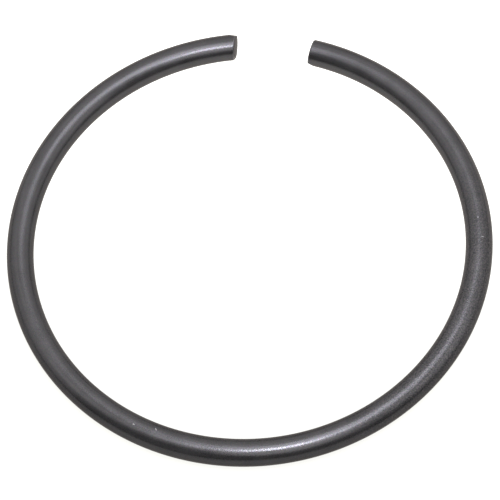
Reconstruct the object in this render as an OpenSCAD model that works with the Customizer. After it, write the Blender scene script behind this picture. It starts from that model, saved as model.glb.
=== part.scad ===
// Open retaining ring of round spring wire, a single piece bent into a circle and sheared off at both ends.
// The ring lies in the XY plane with its axis on Z. The middle of its gap points along +Y.
// Left and right are as seen from above with the gap at the top.

/* [Ring] */
// Outer diameter of the relaxed ring
outer_d = 57.5; // [45:0.5:80]
// Diameter of the round wire
wire_d = 3.2; // [2:0.1:5]
// Opening between the two cut faces, straight across at the middle of the wire
gap_w = 9.2; // [6:0.1:20]

/* [Cut faces] */
// Radius of the worn edge around each cut face
edge_r = 0.2; // [0.1:0.05:0.6]
// Lean of the left face, whose outer side reaches further into the gap
left_lean_out = 10; // [0:0.5:12]
// Lean of the left face, whose lower side reaches further into the gap
left_lean_down = 2; // [0:0.5:12]
// Lean of the right face, whose inner side reaches further into the gap
right_lean_in = 2; // [0:0.5:12]
// Lean of the right face, whose lower side reaches further into the gap
right_lean_down = 2; // [0:0.5:12]

/* [Flats left by the shears] */
// Width of the snipped corner of the left face, across the wire
snip_across = 0.4; // [0.2:0.05:1]
// Length of the snipped corner along the wire
snip_along = 0.2; // [0.1:0.05:0.8]
// Depth of the shallow flat on the outer side of the left end
left_press_deep = 0.25; // [0.1:0.05:0.4]
// Length of the left flat along the wire
left_press_long = 1.6; // [0.8:0.1:1.8]
// How far the left flat is turned up from the wire's outer side, in degrees
left_press_turn = 35; // [0:1:60]
// Depth of the shallow flat on the inner side of the right end
right_press_deep = 0.2; // [0.1:0.05:0.4]
// Length of the right flat along the wire
right_press_long = 0.8; // [0.4:0.1:1.8]
// How far the snipped corner and the right flat are turned down from the wire's inner side, in degrees
down_turn = 28; // [0:1:60]

/* [Hidden] */
wire_r = wire_d / 2;
// Radius of the circle that the middle of the wire follows
ring_r = outer_d / 2 - wire_r;
// Half of the angle that the gap takes out of the circle
half_gap = asin(gap_w / 2 / ring_r);
// The wire is bent this much past each cut face, and then trimmed back to it
overrun = wire_r / 2;
overrun_angle = atan(overrun / ring_r);
// The trimming tools reach this far around the middle of the wire, so that they leave no skin
tool_r = 1.4 * wire_r;
edge_steps = 6;
LEFT = 1;
RIGHT = -1;
$fn = 96;

// Puts its child at the middle of a cut face, with Z running into the wire and X pointing out of the ring.
// Y points down at the left face and up at the right one.
module at_cut(side, lean_out, lean_up)
    rotate([0, 0, 90 + side * half_gap])
        translate([ring_r, 0, 0])
            rotate([-90 * side, 0, 0])
                rotate([side * lean_up, lean_out, 0])
                    children();

// Takes away all of the wire in front of the cut face, and rounds the edge behind it.
module shear_tool() {
    rounded_edge = [for (i = [edge_steps : -1 : 0])
        let (turn = 90 * i / edge_steps)
            [wire_r - edge_r + edge_r * sin(turn), edge_r - edge_r * cos(turn)]];
    rotate_extrude()
        polygon(concat(
            [[0, -tool_r], [tool_r, -tool_r], [tool_r, edge_r + tool_r - wire_r]],
            rounded_edge,
            [[0, 0]]
        ));
}

// Takes a flat off the side of the wire, deepest at the cut face. Its turn is counted from the outer side.
module flat_tool(turn, deep, long)
    rotate([0, 0, turn])
        translate([wire_r - deep, 0, 0])
            rotate([0, -atan(long / deep), 0])
                translate([-wire_r, -tool_r, -tool_r])
                    cube([wire_r + tool_r, 2 * tool_r, tool_r]);

// The wire bent into a circle, a little longer than the finished ring at both ends.
module bent_wire()
    rotate([0, 0, 90 + half_gap - overrun_angle])
        rotate_extrude(angle = 360 - 2 * (half_gap - overrun_angle), $fn = 256)
            translate([ring_r, 0])
                circle(r = wire_r);

module retaining_ring()
    color("#3a393c")
        difference() {
            bent_wire();
            at_cut(LEFT, left_lean_out, -left_lean_down) {
                shear_tool();
                flat_tool(-left_press_turn, left_press_deep, left_press_long);
                flat_tool(180 - down_turn, snip_across, snip_along);
            }
            at_cut(RIGHT, -right_lean_in, -right_lean_down) {
                shear_tool();
                flat_tool(180 + down_turn, right_press_deep, right_press_long);
            }
        }

retaining_ring();
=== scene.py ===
"""An open retaining ring of round spring wire, lying on a pale floor in soft studio light.

The ring is bent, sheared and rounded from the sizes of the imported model. Lengths are in metres.
"""

import math

import bmesh
import bpy
from bpy.props import FloatProperty, FloatVectorProperty, IntProperty, PointerProperty
from mathutils import Euler, Matrix, Vector


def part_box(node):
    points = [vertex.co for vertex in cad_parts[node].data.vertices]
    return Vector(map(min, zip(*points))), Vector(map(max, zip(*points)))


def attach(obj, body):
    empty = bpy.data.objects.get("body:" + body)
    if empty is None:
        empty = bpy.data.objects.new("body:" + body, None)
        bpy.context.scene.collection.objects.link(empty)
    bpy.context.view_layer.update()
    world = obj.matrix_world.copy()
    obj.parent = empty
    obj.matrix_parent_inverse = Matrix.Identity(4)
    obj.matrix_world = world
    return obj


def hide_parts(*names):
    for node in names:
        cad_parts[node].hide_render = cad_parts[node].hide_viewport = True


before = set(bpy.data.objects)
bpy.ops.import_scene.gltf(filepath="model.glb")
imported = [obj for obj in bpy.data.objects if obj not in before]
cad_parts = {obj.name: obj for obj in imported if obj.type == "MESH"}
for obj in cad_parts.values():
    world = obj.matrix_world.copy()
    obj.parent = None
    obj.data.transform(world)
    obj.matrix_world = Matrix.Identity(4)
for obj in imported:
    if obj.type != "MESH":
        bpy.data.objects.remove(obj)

bl_info = {
    "name": "Round Wire Retaining Ring",
    "version": (1, 0),
    "blender": (4, 5, 0),
    "location": "View3D > Sidebar > Retaining Ring",
    "description": "Bends an open ring from round spring wire, and sets a plain studio around it",
    "category": "Mesh",
}

MM = 0.001
RING_NODE = "retaining_ring"
BODY = "root"

LOW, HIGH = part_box(RING_NODE)
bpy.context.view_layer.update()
LEFT, RIGHT = 1, -1

# The plain stretch around each cut face and the waste in front of it, in radii of the wire
PLAIN_STRETCH = 0.75
WASTE = 0.3
# How far the shearing reaches around the middle of a cut face and behind it, in radii of the wire
REACH_AROUND = 2
REACH_BEHIND = 1.6
# Depths of the edge loops behind each cut face, in radii of its worn edge
HOLDING_LOOPS = (1.15, 2.2)
EDGE_STEPS = 6
SNIP_STEPS = 2
JOIN_WITHIN = 1e-7

# The width of the skin's pits against its grain, and how far its lines and streaks are drawn out
PIT_WIDTH = 1.8
LINE_STRETCH = 1 / 40
STREAK_STRETCH = 1 / 24
# Noise that is higher than this is a speck of dust
DUST_SIZE = 0.25 * MM
DUST_FROM = 0.92
DUST_TO = 0.96
DUST_LIGHTER = 2.0

# The skin is rubbed smooth towards the two ends, and further down on the left side.
# Its grain fades and it dulls between these places along Y, less a share of X.
RUBBED_FROM = -10 * MM
RUBBED_TO = 10 * MM
RUBBED_LEFTWARDS = 0.3
RUBBED_SHARE = 0.9
RUBBED_DULLER = 0.012

# Between these places along X its grain gets coarser and stands out more
COARSE_FROM = 10 * MM
COARSE_TO = 24 * MM
COARSER = 0.9
BOLDER = 5

# Light nicks in the skin, with turns in degrees.
# The ring turn is counted from the front, and the wire turn up from the outer side.
NICKS = (
    {"ring_turn": -16.8, "wire_turn": 102, "lean": -43, "length": 0.46 * MM, "width": 0.13 * MM},
    {"ring_turn": -22.3, "wire_turn": 84, "lean": 0, "length": 0.26 * MM, "width": 0.11 * MM},
    {"ring_turn": 100.2, "wire_turn": 91, "lean": 0, "length": 0.15 * MM, "width": 0.15 * MM},
    {"ring_turn": 94.8, "wire_turn": 76, "lean": 80, "length": 0.5 * MM, "width": 0.08 * MM},
)
NICK_LIGHTER = 4
NICK_DEPTH = 0.002 * MM

# The bare cut faces: a mesh attribute that is 1 on them, how much darker and duller they are, and how
# much lighter their worn rims are
SHORN = "shorn"
SHORN_DARKER = 0.42
SHORN_DULLER = 0.2
RIM_LIGHTER = 0.8

# Round soft lamps, with angles in degrees.
# Azimuth is counted from the camera's, and the spread is the lamp's radius as the ring sees it.
LAMPS = (
    {"name": "key_lamp", "azimuth": 6, "elevation": 77.4, "spread": 4.5,
     "radiance": 91, "tint": (0.98, 1, 1.11)},
    {"name": "ceiling_panel", "azimuth": 131, "elevation": 77.6, "spread": 14.7,
     "radiance": 5.1, "tint": (0.98, 1, 1.1)},
    {"name": "front_panel", "azimuth": 6, "elevation": 52.7, "spread": 17,
     "radiance": 2.36, "tint": (1, 1, 1)},
    {"name": "side_panel", "azimuth": 68, "elevation": 38.6, "spread": 12.7,
     "radiance": 0.97, "tint": (1, 1, 1)},
)
LAMP_DISTANCE = 0.275

# The room's light by the height of the direction, and its dark side
ROOM_STOPS = ((0.0, 0.0), (0.28, 0.72), (0.56, 0.6), (0.77, 0.96), (0.9, 0.76), (1.0, 1.0))
ROOM_RADIANCE = 2.42
DARK_AZIMUTH = math.radians(-9)
DARK_ELEVATION = math.radians(0)
DARK_CORE = math.radians(60)
DARK_REACH = math.radians(83)
DARK_RADIANCE = 0.68

FLOOR_HALF = 3.0
FLOOR_ROUGHNESS = 0.8
FLOOR_GLOW = 0.93
FLOOR_TINT = (1, 1, 0.96)
# The floor glows more towards the back, between these places along Y
BACK_FROM = -20 * MM
BACK_TO = 30 * MM
BACK_BRIGHTER = 0.9


def towards(azimuth, elevation):
    """Unit vector to a direction. Azimuth is counted from the front, as the camera's is."""
    level = math.cos(elevation)
    return Vector((math.sin(azimuth) * level, -math.cos(azimuth) * level, math.sin(elevation)))


class RingSizes(bpy.types.PropertyGroup):
    """Sizes of the bent wire and of its two cut ends."""

    outer_d: FloatProperty(
        name="Outer Diameter", description="Outer diameter of the relaxed ring",
        default=HIGH.x - LOW.x, min=0.02, unit="LENGTH")
    wire_d: FloatProperty(
        name="Wire Diameter", description="Diameter of the round wire",
        default=HIGH.z - LOW.z, min=0.001, unit="LENGTH")
    gap_w: FloatProperty(
        name="Gap", description="Opening between the cut faces, at the middle of the wire",
        default=9.2 * MM, min=0.001, unit="LENGTH")
    edge_r: FloatProperty(
        name="Worn Edge", description="Radius of the worn edge around each cut face",
        default=0.2 * MM, min=0.0, unit="LENGTH")
    left_lean: FloatVectorProperty(
        name="Left Lean",
        description="How far the left face reaches into the gap at its outer and at its lower side",
        size=2, default=(math.radians(10), math.radians(2)), subtype="EULER", unit="ROTATION")
    right_lean: FloatVectorProperty(
        name="Right Lean",
        description="How far the right face reaches into the gap at its outer and at its lower side",
        size=2, default=(math.radians(-2), math.radians(2)), subtype="EULER", unit="ROTATION")
    snip: FloatVectorProperty(
        name="Snip",
        description="Size across and along the wire of the snipped corner on the left face's inner side",
        size=2, default=(0.4 * MM, 0.2 * MM), min=0.0, unit="LENGTH")
    snip_r: FloatProperty(
        name="Snip Edge", description="Radius of the worn edge around the snipped corner",
        default=0.05 * MM, min=0.0, unit="LENGTH")
    left_press: FloatVectorProperty(
        name="Left Press",
        description="Depth and length of the shallow flat pressed on the left end's outer side",
        size=2, default=(0.25 * MM, 1.6 * MM), min=0.0, unit="LENGTH")
    right_press: FloatVectorProperty(
        name="Right Press",
        description="Depth and length of the shallow flat pressed on the right end's inner side",
        size=2, default=(0.2 * MM, 0.8 * MM), min=0.0, unit="LENGTH")
    snip_turn: FloatProperty(
        name="Snip Turn", description="How far the snip, and the right end's flat, are turned down",
        default=math.radians(28), subtype="ANGLE", unit="ROTATION")
    press_turn: FloatProperty(
        name="Press Turn", description="How far the left end's flat is turned up",
        default=math.radians(35), subtype="ANGLE", unit="ROTATION")
    wire_sides: IntProperty(
        name="Sides", description="Faces around the wire", default=72, min=12)
    bend_steps: IntProperty(
        name="Steps", description="Faces along the wire", default=480, min=48)

    @property
    def wire_r(self):
        return self.wire_d / 2

    @property
    def ring_r(self):
        return self.outer_d / 2 - self.wire_r

    @property
    def half_gap(self):
        return math.asin(self.gap_w / 2 / self.ring_r)


class WireSkin(bpy.types.PropertyGroup):
    """Colour and finish of the wire's dark skin."""

    colour: FloatVectorProperty(
        name="Colour", description="Colour of the dark skin", subtype="COLOR",
        default=(0.0523, 0.0505, 0.0527))
    roughness: FloatProperty(
        name="Roughness", description="Roughness of the satin skin", default=0.295, min=0, max=1,
        subtype="FACTOR")
    metal: FloatProperty(
        name="Metal", description="How much of the steel's shine comes through the skin", default=0.95,
        min=0, max=1, subtype="FACTOR")
    edge_tint: FloatVectorProperty(
        name="Edge Tint", description="Colour of the shine at the wire's edges", subtype="COLOR",
        default=(0.62, 0.59, 0.58))
    grain_size: FloatProperty(
        name="Grain Size", description="Width of the skin's fine grain", default=0.16 * MM,
        unit="LENGTH")
    grain_height: FloatProperty(
        name="Grain Height", description="Height of the fine grain", default=0.0055 * MM,
        unit="LENGTH")
    grain_depth: FloatProperty(
        name="Grain Shade", description="How much the grain's shade varies", default=0.35, min=0, max=2,
        subtype="FACTOR")
    grain_dulling: FloatProperty(
        name="Grain Dulling", description="How much the grain's roughness varies", default=0.08, min=0,
        max=1, subtype="FACTOR")
    tint_depth: FloatProperty(
        name="Tint", description="How much the grain's colour varies", default=0.4, min=0, max=2,
        subtype="FACTOR")
    line_width: FloatProperty(
        name="Line Width", description="Width of the drawing lines", default=0.16 * MM, unit="LENGTH")
    line_height: FloatProperty(
        name="Line Height", description="Height of the drawing lines", default=0.003 * MM, unit="LENGTH")
    streak_width: FloatProperty(
        name="Streak Width", description="Width of the streaks along the wire", default=0.4 * MM,
        unit="LENGTH")
    streak_height: FloatProperty(
        name="Streak Height", description="Height of the streaks", default=0.006 * MM,
        unit="LENGTH")
    streak_depth: FloatProperty(
        name="Streak Shade", description="How much the streaks' shade varies", default=0.5, min=0, max=2,
        subtype="FACTOR")
    streak_dulling: FloatProperty(
        name="Streak Dulling", description="How much the streaks' roughness varies", default=0.12, min=0,
        max=1, subtype="FACTOR")
    blotch_size: FloatProperty(
        name="Blotch Size", description="Width of the blotches", default=2.2 * MM, unit="LENGTH")
    blotch_depth: FloatProperty(
        name="Blotch Shade", description="How much the blotches' shade varies", default=0.4, min=0,
        max=2, subtype="FACTOR")
    blotch_dulling: FloatProperty(
        name="Blotch Dulling", description="How much the blotches' roughness varies", default=0.15,
        min=0, max=1, subtype="FACTOR")


class StudioSettings(bpy.types.PropertyGroup):
    """The floor, the light and the camera."""

    floor_colour: FloatVectorProperty(
        name="Floor Colour", description="Colour of the pale floor", subtype="COLOR",
        default=(0.052, 0.052, 0.052))
    azimuth: FloatProperty(
        name="Azimuth", description="Direction that the camera looks from, counted from the front",
        default=math.radians(12.28), subtype="ANGLE", unit="ROTATION")
    elevation: FloatProperty(
        name="Elevation", description="Height of the camera above the floor, as an angle",
        default=math.radians(62.03), subtype="ANGLE", unit="ROTATION")
    roll: FloatProperty(
        name="Roll", description="Turn of the camera about its own line of sight",
        default=math.radians(-6.64), subtype="ANGLE", unit="ROTATION")
    distance: FloatProperty(
        name="Distance", description="From the camera to the point that it looks at",
        default=0.380, unit="LENGTH")
    look_at: FloatVectorProperty(
        name="Look At", description="Point that the camera looks at",
        default=(0.23 * MM, -0.94 * MM, 0), subtype="XYZ", unit="LENGTH")
    lens: FloatProperty(
        name="Lens", description="Focal length for a frame 36 mm wide", default=231.8,
        unit="CAMERA")


class Field:
    """A number or vector that varies over a surface. Maths on it adds nodes to its tree."""

    # The share of a reach that stays at 1
    CORE = 0.4

    def __init__(self, shader, socket):
        self.shader = shader
        self.socket = socket

    def maths(self, operation, *values):
        return self.shader.node("ShaderNodeMath", {"operation": operation}, values)

    def __add__(self, other):
        return self.maths("ADD", self, other)

    def __radd__(self, other):
        return self.maths("ADD", other, self)

    def __sub__(self, other):
        return self.maths("SUBTRACT", self, other)

    def __rsub__(self, other):
        return self.maths("SUBTRACT", other, self)

    def __mul__(self, other):
        return self.maths("MULTIPLY", self, other)

    def __pow__(self, other):
        return self.maths("POWER", self, other)

    def ramp(self, start, end):
        """Rises smoothly from 0 to 1 between two values."""
        return self.shader.node(
            "ShaderNodeMapRange", {"interpolation_type": "SMOOTHSTEP"}, (self, start, end, 0.0, 1.0))

    def within(self, reach):
        """1 near zero, falling to 0 at this reach on either side of it."""
        return 1 - self.maths("ABSOLUTE", self).ramp(self.CORE * reach, reach)


class Shader:
    """Builds the node tree of one material or of the world."""

    def __init__(self, tree):
        self.tree = tree
        tree.nodes.clear()

    def node(self, kind, settings=None, values=(), output=0):
        """Adds a node. Values are given by socket name or number, and are plain or fields."""
        node = self.tree.nodes.new(kind)
        for name, value in (settings or {}).items():
            if name == "stops":
                self.set_stops(node.color_ramp, value)
            else:
                setattr(node, name, value)
        pairs = values.items() if isinstance(values, dict) else enumerate(values)
        for key, value in pairs:
            if isinstance(value, Field):
                self.tree.links.new(value.socket, node.inputs[key])
            else:
                node.inputs[key].default_value = value
        return Field(self, node.outputs[output]) if node.outputs else node

    def noise(self, place, size, detail, output="Fac"):
        """Soft noise with features of this size, around 0.5."""
        return self.node(
            "ShaderNodeTexNoise", values={"Vector": place, "Scale": 1 / size, "Detail": detail},
            output=output)

    def stretched(self, place, share):
        """The same place with its first axis drawn out, so that a pattern on it becomes lines."""
        return self.node("ShaderNodeVectorMath", {"operation": "MULTIPLY"}, (place, (share, 1, 1)))

    @staticmethod
    def set_stops(ramp, stops):
        while len(ramp.elements) < len(stops):
            ramp.elements.new(1.0)
        for element, (place, shade) in zip(ramp.elements, stops):
            element.position = place
            element.color = (shade, shade, shade, 1)


def end_matrix(sizes, side, lean):
    """The middle of a cut face: Z runs into the wire, X points out of the ring, Y down at the left."""
    lean_out, lean_down = lean
    place = Matrix.Rotation(math.pi / 2 + side * sizes.half_gap, 4, "Z")
    place @= Matrix.Translation((sizes.ring_r, 0, 0))
    place @= Matrix.Rotation(-side * math.pi / 2, 4, "X")
    place @= Matrix.Rotation(lean_out, 4, "Y")
    return place @ Matrix.Rotation(-side * lean_down, 4, "X")


def bend_wire(shape, sizes):
    """Bends the wire into a circle from the right end to the left one, a little too long at both ends.

    A stretch without steps is left around each cut face, so that its edge has room to be rounded.
    """
    end_arc = PLAIN_STRETCH * sizes.wire_r / sizes.ring_r
    waste = WASTE * sizes.wire_r / sizes.ring_r
    start = math.pi / 2 - sizes.half_gap + waste
    whole = 2 * math.pi - 2 * (sizes.half_gap - waste)
    place = Matrix.Rotation(start, 4, "Z") @ Matrix.Translation((sizes.ring_r, 0, 0))
    place @= Matrix.Rotation(math.pi / 2, 4, "X")
    bmesh.ops.create_circle(shape, segments=sizes.wire_sides, radius=sizes.wire_r, matrix=place)
    geom = shape.edges[:]
    for angle, steps in ((end_arc, 1), (whole - 2 * end_arc, sizes.bend_steps), (end_arc, 1)):
        last = bmesh.ops.spin(
            shape, geom=geom, cent=(0, 0, 0), axis=(0, 0, 1), angle=-angle, steps=steps)
        geom = [e for e in last["geom_last"] if isinstance(e, bmesh.types.BMEdge)]


def near_faces(shape, sizes, plane):
    """The faces of the wire around a cut face and a little way behind it."""
    level = plane.inverted()
    near = set()
    for vert in shape.verts:
        place = level @ vert.co
        if place.xy.length < REACH_AROUND * sizes.wire_r and abs(place.z) < REACH_BEHIND * sizes.wire_r:
            near.add(vert)
    return [face for face in shape.faces if near.issuperset(face.verts)]


def with_corners(faces):
    """These faces with their corners and edges, each one once and in the order of the faces."""
    verts = dict.fromkeys(vert for face in faces for vert in face.verts)
    edges = dict.fromkeys(edge for face in faces for edge in face.edges)
    return [*verts, *edges, *faces]


def cut_off(shape, faces, plane):
    """Cuts these faces by a plane, drops what is on its -Z side, and fills the cut with a face."""
    normal = -(plane.to_3x3() @ Vector((0, 0, 1)))
    cut = bmesh.ops.bisect_plane(
        shape, geom=with_corners(faces), plane_co=plane.translation, plane_no=normal,
        dist=JOIN_WITHIN, clear_outer=True)
    rim = [e for e in cut["geom_cut"] if isinstance(e, bmesh.types.BMEdge)]
    filled = bmesh.ops.contextual_create(shape, geom=rim)["faces"]
    if len(filled) != 1:
        raise RuntimeError("the cut through the wire didn't close")
    return filled[0]


def add_loop(shape, faces, plane, depth):
    """Adds a loop of edges behind a cut face, so that the shine on the wire runs straight up to it."""
    bmesh.ops.bisect_plane(
        shape, geom=with_corners(faces), plane_co=plane @ Vector((0, 0, depth)),
        plane_no=plane.to_3x3() @ Vector((0, 0, 1)), dist=JOIN_WITHIN)


def wear(shape, edges, radius, segments):
    """Rounds sharp edges."""
    bmesh.ops.bevel(
        shape, geom=list(edges), offset=radius, offset_type="OFFSET", segments=segments,
        profile=0.5, affect="EDGES", clamp_overlap=True, material=-1)


def flat_plane(sizes, face_plane, turn, size):
    """The plane of a flat that runs back from a cut face. Its turn is counted from the outer side."""
    deep, long = size
    place = Matrix.Rotation(turn, 4, "Z") @ Matrix.Translation((sizes.wire_r - deep, 0, 0))
    return face_plane @ place @ Matrix.Rotation(-math.atan(long / deep), 4, "Y")


def shear_end(shape, sizes, face_plane, presses, snips):
    """Shears off one end of the wire, wears its edge round, and presses and snips its sides."""
    face = cut_off(shape, near_faces(shape, sizes, face_plane), face_plane)
    wear(shape, face.edges, sizes.edge_r, EDGE_STEPS)
    for depth in HOLDING_LOOPS:
        add_loop(shape, near_faces(shape, sizes, face_plane), face_plane, depth * sizes.edge_r)
    for plane in presses:
        cut_off(shape, near_faces(shape, sizes, face_plane), plane)
    for plane in snips:
        flat = cut_off(shape, near_faces(shape, sizes, face_plane), plane)
        wear(shape, flat.edges, sizes.snip_r, SNIP_STEPS)


def mark_shorn(shape, sizes, face_planes):
    """Marks the cut faces, fading out over their worn edges."""
    layer = shape.verts.layers.float.new(SHORN)
    for plane in face_planes:
        level = plane.inverted()
        for vert in shape.verts:
            place = level @ vert.co
            if place.xy.length < REACH_AROUND * sizes.wire_r and abs(place.z) < sizes.edge_r:
                vert[layer] = 1 - max(place.z, 0) / sizes.edge_r


def nicked(sizes, along, around):
    """1 on the nicks and 0 elsewhere, from the places along the wire and around it."""
    total = 0
    for nick in NICKS:
        beside = along - math.radians(nick["ring_turn"]) * sizes.ring_r
        above = around - math.radians(nick["wire_turn"]) * sizes.wire_r
        lean = math.radians(nick["lean"])
        lengthwise = beside * math.cos(lean) + above * math.sin(lean)
        across = above * math.cos(lean) - beside * math.sin(lean)
        total = total + lengthwise.within(nick["length"] / 2) * across.within(nick["width"] / 2)
    return total


def dark_wire_skin(skin, sizes):
    """A dark satin skin on drawn steel, with a fine grain and faint lines along the wire."""
    material = bpy.data.materials.new("dark_wire_skin")
    material.use_nodes = True
    shader = Shader(material.node_tree)

    place = shader.node("ShaderNodeTexCoord", output="Object")
    x, y, z = (shader.node("ShaderNodeSeparateXYZ", values=(place,), output=axis) for axis in "XYZ")
    along = x.maths("ARCTAN2", x, 0 - y) * sizes.ring_r
    outwards = (x * x + y * y) ** 0.5 - sizes.ring_r
    wire_place = shader.node("ShaderNodeCombineXYZ", values=(along, outwards, z))

    rubbed = (y - x * RUBBED_LEFTWARDS).ramp(RUBBED_FROM, RUBBED_TO)
    kept = 1 - rubbed * RUBBED_SHARE
    coarse = x.ramp(COARSE_FROM, COARSE_TO)
    grain = shader.noise(place, skin.grain_size, detail=2)
    pits = shader.noise(place, PIT_WIDTH * skin.grain_size, detail=1)
    lines = shader.noise(shader.stretched(wire_place, LINE_STRETCH), skin.line_width, detail=2)
    streaks = shader.noise(shader.stretched(wire_place, STREAK_STRETCH), skin.streak_width, detail=3)
    blotches = shader.noise(place, skin.blotch_size, detail=3)
    dust = shader.noise(place, DUST_SIZE, detail=0).ramp(DUST_FROM, DUST_TO)
    tints = shader.noise(place, skin.grain_size, detail=1, output="Color")
    nicks = nicked(sizes, along, z.maths("ARCTAN2", z, outwards) * sizes.wire_r)
    shorn = shader.node("ShaderNodeAttribute", {"attribute_name": SHORN}, output="Fac")

    shade = 1 + (streaks - 0.5) * skin.streak_depth + (blotches - 0.5) * skin.blotch_depth
    specks = (grain - 0.5) * skin.grain_depth * (1 + coarse * BOLDER) * kept
    shade = shade * (1 + specks) * (1 - shorn * SHORN_DARKER)
    rim = shorn * (1 - shorn) * 4
    shade = shade + dust * DUST_LIGHTER + rim * RIM_LIGHTER + nicks * NICK_LIGHTER
    tinted = shader.node(
        "ShaderNodeVectorMath", {"operation": "MULTIPLY_ADD"},
        (tints, tuple(skin.tint_depth * c for c in skin.colour),
         tuple((1 - skin.tint_depth / 2) * c for c in skin.colour)))
    colour = shader.node("ShaderNodeVectorMath", {"operation": "SCALE"}, {0: tinted, "Scale": shade})

    dullness = (blotches - 0.5) * skin.blotch_dulling + (streaks - 0.5) * skin.streak_dulling
    roughness = (skin.roughness + dullness + (pits - 0.5) * skin.grain_dulling * kept
                 + shorn * SHORN_DULLER + rubbed * RUBBED_DULLER)
    height = ((grain + pits) * skin.grain_height * (1 + coarse * COARSER) * kept
              + (lines * skin.line_height + streaks * skin.streak_height) * kept - nicks * NICK_DEPTH)
    bump = shader.node(
        "ShaderNodeBump", values={"Strength": 1.0, "Distance": 1.0, "Height": height})
    surface = shader.node(
        "ShaderNodeBsdfPrincipled",
        values={"Base Color": colour, "Metallic": skin.metal, "Roughness": roughness,
                "Specular Tint": (*skin.edge_tint, 1), "Normal": bump})
    shader.node("ShaderNodeOutputMaterial", values={"Surface": surface})
    return material


class RING_OT_bend_ring(bpy.types.Operator):
    """Bend, shear and finish the retaining ring"""

    bl_idname = "retaining_ring.bend_ring"
    bl_label = "Bend Ring"
    bl_options = {"REGISTER", "UNDO"}

    def execute(self, context):
        sizes = context.scene.ring_sizes
        shape = bmesh.new()
        bend_wire(shape, sizes)
        left_face = end_matrix(sizes, LEFT, sizes.left_lean)
        right_face = end_matrix(sizes, RIGHT, sizes.right_lean)
        left_press = flat_plane(sizes, left_face, -sizes.press_turn, sizes.left_press)
        right_press = flat_plane(sizes, right_face, math.pi + sizes.snip_turn, sizes.right_press)
        snip = flat_plane(sizes, left_face, math.pi - sizes.snip_turn, sizes.snip)
        shear_end(shape, sizes, left_face, [left_press], [snip])
        shear_end(shape, sizes, right_face, [right_press], [])
        bmesh.ops.remove_doubles(shape, verts=shape.verts, dist=JOIN_WITHIN)
        bmesh.ops.recalc_face_normals(shape, faces=shape.faces)
        if any(not edge.is_manifold for edge in shape.edges):
            raise RuntimeError("the ring isn't closed")
        mark_shorn(shape, sizes, (left_face, right_face))
        for face in shape.faces:
            face.smooth = True
        mesh = bpy.data.meshes.new("wire_ring")
        shape.to_mesh(mesh)
        shape.free()
        mesh.materials.append(dark_wire_skin(context.scene.wire_skin, sizes))
        ring = bpy.data.objects.new("wire_ring", mesh)
        context.scene.collection.objects.link(ring)
        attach(ring, BODY)
        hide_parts(RING_NODE)
        return {"FINISHED"}


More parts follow.
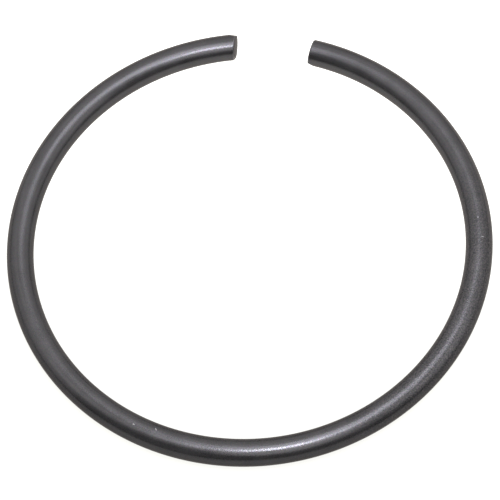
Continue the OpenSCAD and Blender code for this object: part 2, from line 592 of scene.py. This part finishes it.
class RING_OT_set_stage(bpy.types.Operator):
    """Lay the floor, hang the light and place the camera"""

    bl_idname = "retaining_ring.set_stage"
    bl_label = "Set Stage"
    bl_options = {"REGISTER", "UNDO"}

    def execute(self, context):
        studio = context.scene.studio
        scene = context.scene
        scene.view_settings.view_transform = "Standard"
        floor_shape = bmesh.new()
        bmesh.ops.create_grid(
            floor_shape, x_segments=1, y_segments=1, size=FLOOR_HALF,
            matrix=Matrix.Translation((0, 0, LOW.z)))
        floor_mesh = bpy.data.meshes.new("floor")
        floor_shape.to_mesh(floor_mesh)
        floor_shape.free()
        floor = bpy.data.objects.new("floor", floor_mesh)
        scene.collection.objects.link(floor)
        material = bpy.data.materials.new("pale_floor")
        material.use_nodes = True
        shader = Shader(material.node_tree)
        place = shader.node("ShaderNodeTexCoord", output="Object")
        y = shader.node("ShaderNodeSeparateXYZ", values=(place,), output="Y")
        behind = y.ramp(BACK_FROM, BACK_TO)
        glow = shader.node(
            "ShaderNodeVectorMath", {"operation": "SCALE"},
            {0: FLOOR_TINT, "Scale": 1 + behind * BACK_BRIGHTER})
        surface = shader.node(
            "ShaderNodeBsdfPrincipled",
            values={"Base Color": (*studio.floor_colour, 1), "Roughness": FLOOR_ROUGHNESS,
                    "Emission Color": glow, "Emission Strength": FLOOR_GLOW})
        shader.node("ShaderNodeOutputMaterial", values={"Surface": surface})
        floor_mesh.materials.append(material)

        self.set_room(scene, studio)
        for lamp in LAMPS:
            self.hang_lamp(scene, studio, lamp)

        camera_data = bpy.data.cameras.new("camera")
        camera_data.lens = studio.lens
        camera_data.sensor_width = 36
        camera_data.clip_start = 0.01
        camera = bpy.data.objects.new("camera", camera_data)
        turn = Euler((math.pi / 2 - studio.elevation, 0, studio.azimuth)).to_matrix().to_4x4()
        turn @= Matrix.Rotation(studio.roll, 4, "Z")
        back = turn.to_3x3() @ Vector((0, 0, 1))
        camera.matrix_world = Matrix.Translation(Vector(studio.look_at) + back * studio.distance) @ turn
        scene.collection.objects.link(camera)
        scene.camera = camera
        return {"FINISHED"}

    def set_room(self, scene, studio):
        """A pale room that is dark on the side where the camera stands."""
        world = bpy.data.worlds.new("pale_room")
        world.use_nodes = True
        light = Shader(world.node_tree)
        direction = light.node("ShaderNodeTexCoord")
        dark = towards(studio.azimuth + DARK_AZIMUTH, DARK_ELEVATION)
        towards_dark = light.node(
            "ShaderNodeVectorMath", {"operation": "DOT_PRODUCT"}, (direction, tuple(dark)),
            output="Value")
        lit = light.node(
            "ShaderNodeMapRange", {"interpolation_type": "SMOOTHSTEP"},
            (towards_dark, math.cos(DARK_REACH), math.cos(DARK_CORE), ROOM_RADIANCE, DARK_RADIANCE))
        height = light.node("ShaderNodeSeparateXYZ", values=(direction,), output="Z")
        room = light.node("ShaderNodeValToRGB", {"stops": ROOM_STOPS}, (height,))
        sky = light.node("ShaderNodeBackground", values={"Color": (1, 1, 1, 1), "Strength": lit * room})
        light.node("ShaderNodeOutputWorld", values={"Surface": sky})
        scene.world = world

    def hang_lamp(self, scene, studio, lamp):
        """Hangs a round soft lamp that faces the middle of the ring."""
        data = bpy.data.lights.new(lamp["name"], "AREA")
        data.shape = "DISK"
        data.size = 2 * LAMP_DISTANCE * math.tan(math.radians(lamp["spread"]))
        data.energy = lamp["radiance"] * (math.pi * data.size / 2) ** 2
        data.color = lamp["tint"]
        back = towards(studio.azimuth + math.radians(lamp["azimuth"]), math.radians(lamp["elevation"]))
        place = Matrix.Translation(back * LAMP_DISTANCE)
        hung = bpy.data.objects.new(lamp["name"], data)
        hung.matrix_world = place @ back.to_track_quat("Z", "Y").to_matrix().to_4x4()
        hung.visible_camera = False
        scene.collection.objects.link(hung)


class RING_PT_panel(bpy.types.Panel):
    """Lists the ring's sizes, its finish and the studio"""

    bl_idname = "RING_PT_panel"
    bl_label = "Retaining Ring"
    bl_space_type = "VIEW_3D"
    bl_region_type = "UI"
    bl_category = "Retaining Ring"

    def draw(self, context):
        for group in (context.scene.ring_sizes, context.scene.wire_skin, context.scene.studio):
            box = self.layout.box()
            for name in group.__annotations__:
                box.prop(group, name)
        self.layout.operator(RING_OT_bend_ring.bl_idname)
        self.layout.operator(RING_OT_set_stage.bl_idname)


CLASSES = (RingSizes, WireSkin, StudioSettings, RING_OT_bend_ring, RING_OT_set_stage, RING_PT_panel)


def register():
    for cls in CLASSES:
        bpy.utils.register_class(cls)
    bpy.types.Scene.ring_sizes = PointerProperty(type=RingSizes)
    bpy.types.Scene.wire_skin = PointerProperty(type=WireSkin)
    bpy.types.Scene.studio = PointerProperty(type=StudioSettings)


def unregister():
    del bpy.types.Scene.studio
    del bpy.types.Scene.wire_skin
    del bpy.types.Scene.ring_sizes
    for cls in reversed(CLASSES):
        bpy.utils.unregister_class(cls)


def main():
    register()
    bpy.ops.retaining_ring.bend_ring()
    bpy.ops.retaining_ring.set_stage()


if __name__ == "__main__":
    main()
